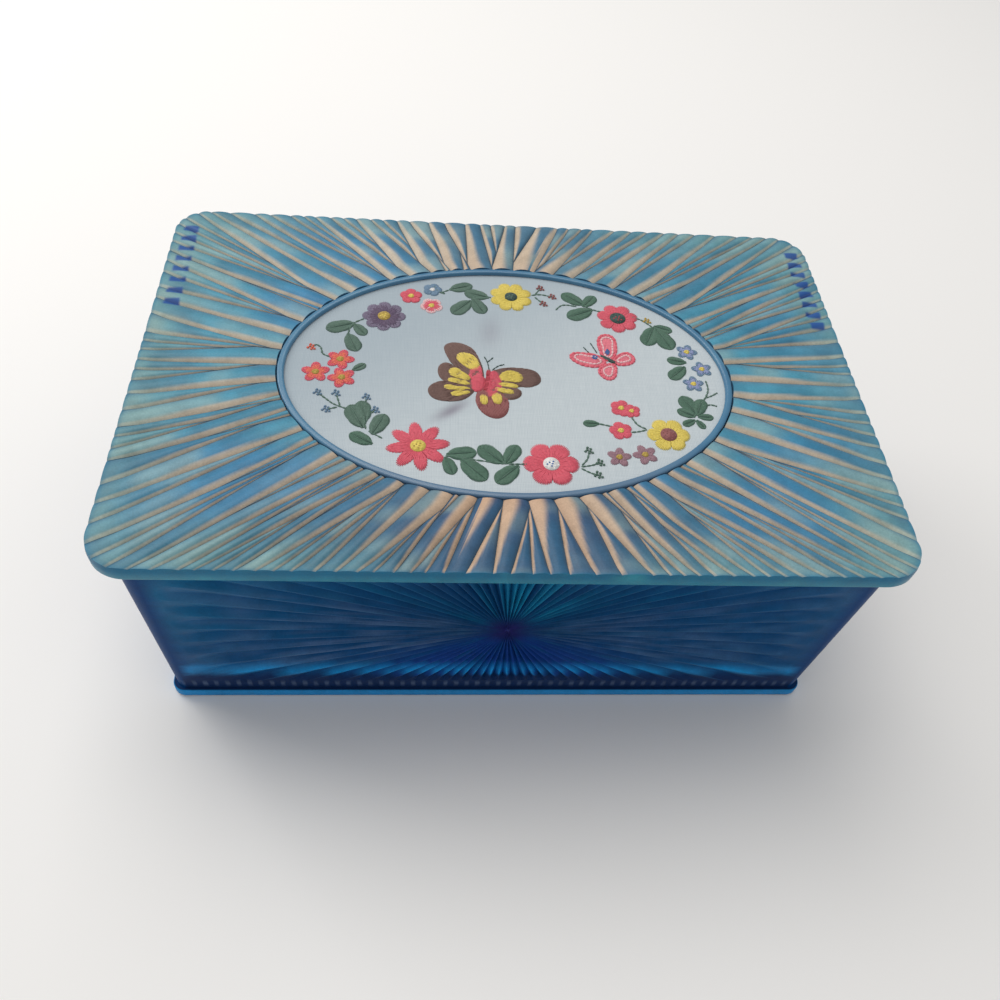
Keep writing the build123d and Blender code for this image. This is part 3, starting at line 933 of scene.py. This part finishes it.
# Thread: every stitch is a short raised strand, in rows that fill a petal, leaf or wing
threadColours = palette(
    red=(208, 86, 104), deepRed=(168, 52, 68), orange=(214, 104, 84), pink=(230, 186, 190), rose=(222, 122, 138),
    yellow=(214, 194, 92), mustard=(176, 150, 70), green=(82, 110, 98), freshGreen=(74, 108, 92),
    leafDark=(62, 90, 80), darkGreen=(50, 76, 72), plum=(92, 76, 102), plumGrey=(120, 110, 134),
    mauve=(146, 112, 124), brown=(112, 86, 80), redBrown=(140, 84, 84), lilac=(134, 146, 186),
    blueGrey=(104, 132, 158), blue=(70, 104, 160), white=(222, 224, 222),
)
threadFinish = {"Roughness": 0.55, "Specular IOR Level": 0.3, "Sheen Weight": 0.12, "Sheen Roughness": 0.4}


def threadMaterial(name, colour):
    material, tree, shader = newMaterial("thread_" + name, threadFinish)
    strand = noiseNode(objectCoords(tree), 2600.0, 3.0)
    dark = tuple(c * 0.66 for c in colour[:3]) + (1,)
    light = tuple(min(1.0, c * 1.38 + 0.02) for c in colour[:3]) + (1,)
    feed(shader, {"Base Color": mixColour(strand, dark, light)})
    bumpInto(shader, strand, 0.00005, 0.4)
    return material


threadNames = list(threadColours)
threadMaterials = [threadMaterial(name, colour) for name, colour in threadColours.items()]
stitch = {
    "width": 0.44, "height": 0.00020, "sunk": 0.00003, "pad": 0.00008, "top": 0.0624, "sides": 4, "steps": 4,
    "row": 0.33, "knotReach": 0.3, "knotWidth": 0.46, "knotLift": 0.00010,
}
random.seed(23)


def addStitch(bm, start, end, colour, width=stitch["width"], lift=0.0):
    # One strand from start to end in millimetres on the cloth, bowed up in the middle and tapered at both ends
    width = width * random.uniform(0.92, 1.08) / 1000
    a, b = [Vector((x / 1000, y / 1000, 0)) for x, y in (start, end)]
    run = b - a
    if run.length < 0.00018:
        return
    side = Vector((-run.y, run.x, 0)).normalized()
    index = threadNames.index(colour)
    rows = []
    for n in range(stitch["steps"] + 1):
        share = n / stitch["steps"]
        middle = a + run * share
        bow = math.sin(math.pi * share) ** 0.5 if 0 < share < 1 else 0.0
        half = width / 2 * (0.5 + 0.5 * bow)
        ground = clothTop(middle.x, middle.y)
        crown = min(ground + stitch["height"] * (0.4 + 0.6 * bow) + lift, stitch["top"])
        ground -= stitch["sunk"]
        row = []
        for m in range(stitch["sides"]):
            angle = math.pi * m / (stitch["sides"] - 1)
            place = middle + side * math.cos(angle) * half
            z = ground + (crown - ground) * min(1.0, math.sin(angle) * 1.15)
            row.append(bm.verts.new((place.x, place.y, z)))
        rows.append(row)
    outlines = []
    for first, second in zip(rows, rows[1:]):
        outlines += zip(first, second, second[1:] + second[:1], first[1:] + first[:1])
    for outline in outlines + [rows[0], rows[-1][::-1]]:
        bm.faces.new(outline).material_index = index


def turned(point, angle, base=(0, 0)):
    c, s = math.cos(angle), math.sin(angle)
    return base[0] + (point[0] * c - point[1] * s), base[1] + (point[0] * s + point[1] * c)


def softened(outline, rounds):
    # Cuts the corners of a closed outline
    for count in range(rounds):
        cut = []
        for (x0, y0), (x1, y1) in zip(outline, outline[1:] + outline[:1]):
            cut += [(x0 * a + x1 * (1 - a), y0 * a + y1 * (1 - a)) for a in (0.75, 0.25)]
        outline = cut
    return outline


def padding(bm, outline, colour, lift=0.00003):
    # A thin closed pad under the strands, so that no cloth shows between them
    tops, lows = [], []
    for x, y in outline:
        ground = clothTop(x / 1000, y / 1000)
        tops.append(bm.verts.new((x / 1000, y / 1000, ground + stitch["pad"] + lift)))
        lows.append(bm.verts.new((x / 1000, y / 1000, ground - stitch["sunk"])))
    for face in bridge(bm, lows, tops) + [bm.faces.new(tops), bm.faces.new(lows[::-1])]:
        face.material_index = threadNames.index(colour)


def fillOutline(bm, outline, direction, colour, lift=0.0, edgeColour=None, rounds=1, longest=4.0):
    # Rows of strands along one direction, clipped to the outline, with an edge colour at their ends
    direction = math.radians(direction)
    smooth = softened(pairsOf(outline), rounds)
    padding(bm, smooth, edgeColour or colour, lift - 0.00002)
    points = [turned(p, -direction) for p in smooth]
    low, high = min(p[1] for p in points), max(p[1] for p in points)
    count = max(2, round((high - low) / stitch["row"]))
    for n in range(count):
        y = low + (high - low) * (n + 0.5) / count
        cuts = []
        for (x0, y0), (x1, y1) in zip(points, points[1:] + points[:1]):
            if (y0 <= y) != (y1 <= y):
                cuts.append(x0 + (x1 - x0) * (y - y0) / (y1 - y0))
        cuts.sort()
        for left, right in zip(cuts[::2], cuts[1::2]):
            stops = [left]
            if edgeColour and right - left > 2.6:
                stops += [left + random.uniform(0.8, 1.3), right - random.uniform(0.8, 1.3)]
            elif right - left > longest:
                stops.append(left + (right - left) * random.uniform(0.35, 0.65))
            stops.append(right)
            for place, ends in enumerate(zip(stops, stops[1:])):
                atEdge = edgeColour and (len(stops) == 2 or place in (0, len(stops) - 2))
                start, finish = [turned((x, y), direction) for x in ends]
                addStitch(bm, start, finish, edgeColour if atEdge else colour, lift=lift)


def runAlong(bm, points, colour, width=0.38, lift=0.0, step=1.0):
    # Split stitches along a smooth line through the points
    points = pairsOf(points)
    path = []
    for four in zip(points[:1] + points, points, points[1:], points[2:] + points[-1:]):
        for k in range(8):
            t = k / 8
            weights = (-t + 2 * t * t - t ** 3, 2 - 5 * t * t + 3 * t ** 3, t + 4 * t * t - 3 * t ** 3, t ** 3 - t * t)
            path.append(tuple(sum(w * p[i] for w, p in zip(weights, four)) / 2 for i in range(2)))
    gathered = [path[0]]
    for point in path[1:] + points[-1:]:
        if math.dist(point, gathered[-1]) > step:
            gathered.append(point)
    gathered.append(points[-1])
    for first, second in zip(gathered, gathered[1:]):
        addStitch(bm, first, second, colour, width, lift)


def rim(bm, outline, colour, width, lift, inward):
    # A line of stitches just inside a closed outline
    points = softened(pairsOf(outline), 1)
    middle = [sum(p[i] for p in points) / len(points) for i in range(2)]
    pulled = []
    for p in points:
        away = math.dist(p, middle) or 1.0
        pulled.append(tuple(p[i] + (middle[i] - p[i]) * inward / away for i in range(2)))
    for first, second in zip(pulled, pulled[1:] + pulled[:1]):
        addStitch(bm, first, second, colour, width, lift)


goldenAngle = 2.39996


def knots(bm, centre, radius, colour, count, outerColour=None):
    # French knots, as short crossed strands
    for n in range(count):
        angle = goldenAngle * n
        reach = radius * math.sqrt((n + 0.4) / count)
        x, y = around(centre, angle, reach)
        shade = outerColour if outerColour and reach > radius * 0.62 else colour
        for way in (angle, angle + math.pi / 2):
            dx, dy = math.cos(way) * stitch["knotReach"], math.sin(way) * stitch["knotReach"]
            addStitch(bm, (x - dx, y - dy), (x + dx, y + dy), shade, stitch["knotWidth"], stitch["knotLift"])


def blossom(bm, centre, reach, turnBy, petals, pointed, colours):
    # Strands from the middle out to a lobed edge, fuller outside, with a fine groove between two petals
    body, edge, heartColour, heartRim = colours

    def lobedReach(angle):
        lobe = abs(math.cos(petals * (angle - math.radians(turnBy)) / 2))
        return reach * (0.56 + 0.44 * lobe ** 1.2 if pointed else 0.74 + 0.26 * lobe ** 0.6), lobe

    heart = reach * 0.24
    if heartColour in ("redBrown", "deepRed"):
        heart = reach * 0.38
    elif petals in (6, 8) and not pointed:
        heart = reach * 0.29
    padding(bm, [around(centre, angle, lobedReach(angle)[0] * 0.94) for angle in turns(72)], edge or body)
    for n, angle in enumerate(turns(round(2 * math.pi * reach * 0.82 / stitch["row"]))):
        reachHere, lobe = lobedReach(angle)
        if lobe < 0.09:
            continue
        begin = (heart * 0.7, reach * 0.36, heart * 0.9, reach * 0.5)[n % 4]
        split = begin + (reachHere - begin) * random.uniform(0.5, 0.7)
        stations = ((begin, split, body), (split, reachHere, edge)) if edge else ((begin, reachHere, body),)
        for low, high, colour in stations:
            addStitch(bm, around(centre, angle, low), around(centre, angle, high), colour)
    padding(bm, [around(centre, angle, heart) for angle in turns(20)], heartRim or heartColour, 0.00014)
    knots(bm, centre, heart * 0.9, heartColour, 5 if petals == 5 else round(8 * heart), heartRim)


def leaf(bm, base, tip, colour):
    # Slanted strands on both sides of a faint vein
    length = math.dist(base, tip)
    direction = math.atan2(tip[1] - base[1], tip[0] - base[0])

    def halfWidth(along):
        return length * 0.60 / 2 * math.sin(math.pi * along ** 0.85) ** 0.8

    pad = []
    for way, order in ((1, range(0, 11)), (-1, range(9, 0, -1))):
        for n in order:
            edge = halfWidth(n / 10) * 0.92 if 0 < n < 10 else 0.0
            pad.append(turned((length * n / 10, way * edge), direction, base))
    padding(bm, pad, colour)
    count = max(5, round(length / 0.36))
    for n in range(count):
        along = (n + 0.5) / count
        edge = halfWidth(along)
        for way in (-1, 1):
            start = turned((along * length - 0.3, way * 0.08), direction, base)
            end = turned((min(length, along * length + edge * 0.7), way * edge), direction, base)
            addStitch(bm, start, end, colour)
    addStitch(bm, base, between(base, tip, 0.85), "leafDark", 0.2, 0.00006)


def pairsOf(numbers):
    return list(zip(numbers[::2], numbers[1::2]))


def stitched(name, bm):
    obj = pieceFrom(name, bm, "lid", threadMaterials)
    print(name, "stitched", len(obj.data.polygons))
    return obj


# Flowers of one kind: petals, pointed or not, colours of body, edge, middle and middle's rim,
# then x, y, reach and turn of each
flowers = (
    (8, False, ("plum", "plumGrey", "yellow", "mustard"), ((-29.1, 18.2, 5.2, 0),)),
    (5, False, ("red", None, "yellow", None), ((-22.8, 25.9, 2.8, 20),)),
    (5, False, ("red", "pink", "yellow", None), ((-17.8, 22.6, 2.8, 50),)),
    (5, False, ("blueGrey", None, "white", None), ((-17.6, 28.6, 2.4, 0),)),
    (8, False, ("yellow", None, "green", "darkGreen"), ((1.8, 27.0, 5.4, 22),)),
    (7, False, ("red", None, "deepRed", "darkGreen"), ((27.9, 20.5, 5.2, 10),)),
    (5, True, ("lilac", "blueGrey", "yellow", None), ((43.4, 9.3, 2.7, 0), (46.1, 3.6, 2.6, 30), (43.2, -1.4,
        2.6, 15))),
    (6, False, ("yellow", None, "redBrown", "redBrown"), ((34.7, -17.5, 4.9, 0),)),
    (5, False, ("red", None, "yellow", None), ((25.0, -9.8, 2.6, 0), (27.3, -10.6, 2.1, 30), (24.1, -16.6, 2.7,
        30))),
    (5, True, ("mauve", None, "mustard", None), ((22.8, -24.3, 2.8, 10), (28.6, -23.4, 2.9, 40))),
    (6, False, ("red", None, "blue", "white"), ((7.8, -26.7, 6.1, 0),)),
    (8, True, ("red", None, "mustard", "yellow"), ((-20.4, -22.5, 6.9, 8),)),
    (5, True, ("orange", "red", "mustard", None), ((-38.4, 3.0, 3.3, 0), (-43.6, -1.3, 3.3, 20), (-37.7, -2.8,
        3.3, 40))),
)
bm = bmesh.new()
for petals, pointed, colours, places in flowers:
    for x, y, reach, turnBy in places:
        blossom(bm, (x, y), reach, turnBy, petals, pointed, colours)
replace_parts(stitched("embroidery_flowers", bm), "embroidered_flowers")

# Leaves from base to tip, then the stems, then the buds at their ends, as x and y by turns
leaves = (
    (-35.9, 15.3, -42.4, 13.0), (-37.2, 11.6, -34.8, 5.8), (-35.9, 15.0, -33.1, 11.3), (-35.4, -0.4, -32.6, 1.7),
    (-32.2, -17.7, -35.4, -11.1), (-30.2, -19.5, -27.6, -13.6), (-30.1, -22.2, -34.9, -19.4),
    (-31.7, -15.8, -33.1, -9.8), (-14.6, -25.4, -13.0, -30.1), (-14.3, -24.7, -8.0, -23.9),
    (-11.3, -26.0, -6.1, -31.4), (-2.4, -26.8, -7.5, -22.1), (-1.9, -26.8, 0.9, -21.6), (0.8, -27.4, -4.1, -32.1),
    (-8.2, 25.0, -12.8, 20.0), (-7.8, 25.9, -5.0, 20.5), (-3.8, 26.4, -9.7, 28.2), (-13.3, 28.9, -7.7, 30.8),
    (19.8, 25.1, 14.7, 29.1), (19.7, 24.5, 23.0, 28.6), (21.8, 23.3, 15.4, 20.1), (36.6, 17.8, 33.7, 11.2),
    (36.7, 18.1, 41.0, 16.4), (37.0, 17.2, 39.9, 10.0), (42.6, 5.7, 38.1, 6.5), (42.1, 4.2, 37.9, 0.0),
    (42.2, -11.3, 39.6, -5.4), (41.7, -11.8, 37.9, -9.8), (41.5, -12.9, 38.5, -14.5), (41.9, -12.9, 43.4, -15.4),
    (42.5, -11.8, 46.0, -11.9), (42.2, -11.3, 44.5, -6.3), (19.3, -14.7, 15.8, -14.7),
)
stems = (
    (-40.6, 3.7, -42.5, 4.6, -43.0, 6.7, -44.4, 7.7, -45.2, 6.6),
    (-36.0, -12.3, -38.9, -11.0, -40.5, -9.6, -42.6, -7.7), (-38.1, -11.9, -40.4, -12.7),
    (-37.5, -11.4, -38.6, -7.8), (-31.6, -18.1, -32.2, -13.5, -31.9, -8.7), (-31.8, -14.5, -29.8, -12.5),
    (19.3, -14.7, 22.1, -15.4), (27.0, -12.4, 28.2, -14.9, 30.0, -15.9), (26.4, -17.0, 28.4, -16.7, 30.0, -16.1),
    (14.2, -27.2, 16.1, -26.9, 18.4, -26.1), (14.2, -27.7, 15.9, -28.8, 17.7, -29.5),
    (14.4, -26.8, 15.8, -25.0, 16.3, -22.8), (43.1, -8.6, 45.2, -5.8, 46.4, -3.0, 46.3, -0.2),
    (45.2, -5.8, 46.6, -5.2, 48.4, -4.0), (43.9, -8.5, 46.1, -7.9, 47.5, -8.4),
    (7.0, 27.9, 9.2, 28.4, 12.2, 27.6), (7.9, 28.3, 9.4, 30.7), (7.8, 27.3, 9.8, 24.8),
    (-15.6, 27.5, -13.3, 28.9, -10.5, 30.3), (12.7, 22.8, 14.6, 24.8, 18.0, 24.4),
    (31.1, 21.3, 33.9, 20.2, 36.2, 17.8), (19.8, 24.8, 22.2, 23.3, 23.9, 22.8),
    (-17.2, 30.1, -16.0, 27.8, -14.5, 27.3), (-14.6, -25.0, -9.0, -25.9, -2.2, -26.8, 2.6, -26.9),
    (-28.0, -20.6, -31.0, -18.6), (-8.0, 25.6, -3.2, 26.6), (-33.8, 17.0, -36.4, 15.0, -37.2, 11.6),
)
buds = {
    "blueGrey": (-42.6, -7.7, -40.4, -12.7, -38.6, -7.8, -31.9, -8.7, -29.8, -12.5),
    "redBrown": (9.4, 30.7, 12.2, 27.6, 9.8, 24.8),
    "mustard": (35.2, 19.9),
    "orange": (-45.2, 6.6),
    "green": (17.7, -29.5, 18.4, -26.1, 16.3, -22.8),
}
bm = bmesh.new()
for numbers in leaves:
    base, tip = pairsOf(numbers)
    leaf(bm, base, tip, "freshGreen" if base[0] > 0 or base[1] < -22 else "green")
for points in stems:
    runAlong(bm, points, "green", 0.5)
for colour, centres in buds.items():
    for centre in pairsOf(centres):
        knots(bm, centre, 1.0, colour, 7)
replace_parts(stitched("embroidery_leaves", bm), "embroidered_leaves")

# Butterflies: colour, direction of the strands and outline of every wing, then the wedges on top
bigWings = (
    ("brown", 125, (-14.9, 7.3, -14.7, 9.0, -13.0, 10.0, -10.4, 9.7, -8.0, 8.0, -6.8, 5.1, -5.8, 1.4, -5.7, -2.7,
        -9.1, -1.8, -11.3, 0.7, -13.4, 3.2)),
    ("brown", 160, (-14.2, 3.4, -16.0, 2.3, -16.4, -0.1, -15.5, -2.6, -13.5, -3.0, -9.2, -4.3, -7.3, -2.7, -10.9,
        0.7)),
    ("brown", 190, (-15.3, -2.7, -17.8, -4.0, -18.7, -6.0, -17.6, -8.4, -14.9, -9.3, -11.0, -8.9, -8.9, -7.3,
        -7.4, -4.8, -7.7, -2.7)),
    ("brown", 8, (-4.7, 0.4, -1.4, 1.9, 3.0, 2.1, 6.2, 1.4, 7.5, -0.8, 7.1, -3.0, 4.6, -4.2, 2.3, -4.0, -0.9,
        -5.0, -4.8, -4.6)),
    ("brown", -40, (-2.0, -3.4, 2.6, -4.8, 2.7, -7.0, 0.5, -8.4, -2.2, -7.7, -5.2, -5.2)),
    ("redBrown", -75, (-8.0, -7.3, -7.5, -10.7, -5.8, -13.2, -3.1, -14.3, -0.9, -12.8, -0.2, -9.4, -1.0, -7.0,
        -3.8, -4.1, -6.3, -3.7)),
)
bigSpots = (
    ("red", 110, (-9.4, -1.0, -9.0, 1.2, -7.6, 2.6, -6.3, 2.4, -5.9, -1.6, -7.6, -3.8)),
    ("red", 160, (-9.2, -4.6, -7.4, -6.4, -5.2, -4.6, -5.6, -0.8, -8.4, -0.4)),
    ("red", 20, (-5.4, -2.2, -4.6, 0.4, -2.4, 0.8, -1.4, -1.6, -1.4, -4.6, -3.2, -6.8, -5.2, -7.8, -6.0, -4.6)),
    ("yellow", 125, (-12.2, 5.2, -11.0, 6.6, -8.6, 6.2, -7.0, 4.2, -6.4, 1.8, -7.8, 0.4, -9.8, 1.6, -11.4, 3.4)),
    ("yellow", 150, (-13.8, 0.9, -12.2, 1.5, -10.4, 0.0, -8.6, -1.6, -9.4, -2.8, -11.6, -2.0, -13.7, -1.0)),
    ("yellow", 165, (-13.7, -1.7, -11.6, -2.4, -8.9, -3.2, -9.2, -4.2, -12.0, -3.6, -14.2, -3.0)),
    ("yellow", 178, (-14.9, -4.0, -11.6, -4.6, -9.0, -4.8, -9.0, -5.5, -12.0, -5.7, -14.8, -5.6)),
    ("yellow", 190, (-13.6, -6.2, -9.2, -5.8, -8.9, -6.6, -12.8, -7.9)),
    ("yellow", 5, (-2.6, -1.4, -1.2, 0.8, 1.8, 0.9, 3.4, -0.8, 2.8, -2.7, 0.4, -2.6, -2.0, -2.4)),
    ("yellow", -8, (-2.8, -3.0, 0.2, -3.1, 2.0, -3.6, 1.9, -4.5, 0.0, -4.4, -2.6, -4.0)),
    ("yellow", -25, (-3.2, -4.4, -1.0, -4.8, 1.0, -5.4, 0.8, -6.6, -1.4, -6.2, -3.4, -5.4)),
    ("yellow", -70, (-4.4, -6.6, -3.2, -6.0, -2.0, -6.8, -1.8, -8.8, -2.6, -9.9, -3.8, -9.4)),
    ("yellow", -88, (-6.9, -6.9, -5.4, -6.9, -5.0, -9.0, -5.6, -10.1, -6.8, -9.6)),
)
smallWings = (
    (88, (22.8, 5.6, 21.9, 9.1, 21.8, 12.7, 23.0, 14.5, 25.1, 14.7, 26.4, 13.3, 26.6, 10.0, 25.8, 7.0, 24.4,
        5.1)),
    (175, (23.5, 4.5, 21.3, 3.0, 18.4, 3.1, 16.1, 4.2, 14.5, 6.1, 15.2, 7.9, 18.1, 8.0, 20.9, 7.6, 22.9, 6.2)),
    (20, (24.4, 5.1, 26.4, 7.9, 29.0, 8.8, 30.4, 7.2, 30.4, 5.4, 28.8, 4.1, 25.9, 3.8)),
    (-88, (23.1, 4.5, 21.3, 3.3, 20.9, 1.2, 22.1, -0.7, 23.6, -1.2, 25.2, 0.0, 25.8, 3.5, 25.1, 4.6)),
)
smallSpots = ((19.6, 6.4, 20.7, 7.2, 21.9, 6.5, 20.5, 5.4), (23.2, 8.3, 24.1, 9.5, 24.7, 8.4, 23.8, 7.1))
feelers = (
    (-4.5, 1.0, -4.8, 3.6, -5.5, 5.4), (-4.8, 3.6, -3.4, 5.2), (-3.8, 1.0, -2.4, 2.4, -0.9, 3.0),
    (21.4, 7.9, 20.1, 11.4), (19.7, 7.5, 18.3, 9.8),
)
bm = bmesh.new()
for colour, direction, outline in bigWings:
    fillOutline(bm, outline, direction, colour, rounds=2)
for colour, direction, outline in bigSpots:
    fillOutline(bm, outline, direction, colour, 0.00006 if colour == "red" else 0.00012)
for direction, outline in smallWings:
    fillOutline(bm, outline, direction, "rose", 0.0, "rose")
    rim(bm, outline, "red", 0.9, 0.00006, 0.3)
    rim(bm, outline, "pink", 0.62, 0.00012, 1.25)
for outline in smallSpots:
    fillOutline(bm, outline, 30, "blue", 0.00012)
for offset in (-0.3, 0.0, 0.3):
    runAlong(bm, (-4.6 + offset, 1.0, -5.0 + offset, -2.4, -5.6 + offset, -5.6), "deepRed", 0.46, 0.00014, 1.6)
    addStitch(bm, (22.2, 6.9 + offset), (25.7, 4.5 + offset), "darkGreen", 0.5, 0.00014)
for points in feelers:
    runAlong(bm, points, "darkGreen", 0.32)
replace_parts(stitched("embroidery_butterflies", bm), "embroidered_butterflies")

# Stage: a pale floor, a pale world, and broad soft lights
floorMesh = bpy.data.meshes.new("floor")
floorMesh.from_pydata([(-4, -4, 0), (4, -4, 0), (4, 4, 0), (-4, 4, 0)], [], [(0, 1, 2, 3)])
floorMesh.materials.append(newMaterial("paleFloor", {"Base Color": (0.90, 0.90, 0.90, 1), "Roughness": 0.7})[0])
floorObject = linked("floor", floorMesh)
floorObject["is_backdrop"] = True

# The world is white to the camera and to glass, softer as a light, and dim in reflections
world = bpy.data.worlds.new("world")
bpy.context.scene.world = world
world.use_nodes = True
worldShader = world.node_tree.nodes["Background"]
lightPath = world.node_tree.nodes.new("ShaderNodeLightPath").outputs
unlit = reckon("SUBTRACT", 1.0, lightPath["Is Glossy Ray"], clamp=True)
seen = reckon("MAXIMUM", lightPath["Is Camera Ray"], lightPath["Is Transmission Ray"])
strength = reckon("MAXIMUM", plus(times(unlit, 0.22), 0.26), seen)
feed(worldShader, {"Color": (1.0, 1.0, 1.0, 1), "Strength": strength})


def softLight(name, place, size, energy, colour):
    data = bpy.data.lights.new(name, "AREA")
    data.size, data.energy, data.color = size, energy, colour
    obj = linked(name, data)
    obj.location = place
    obj.rotation_mode = "QUATERNION"
    obj.rotation_quaternion = (Vector((0, 0, 0.05)) - Vector(place)).to_track_quat("-Z", "Y")


softLight("overhead", (-0.15, 0.35, 0.9), 0.7, 4.6, (1.0, 0.96, 0.90))
softLight("backLeft", (-0.7, 0.45, 0.55), 0.5, 2.6, (1.0, 0.97, 0.93))
bpy.context.scene.view_settings.view_transform = "Standard"
print("stage set")

low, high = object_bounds()
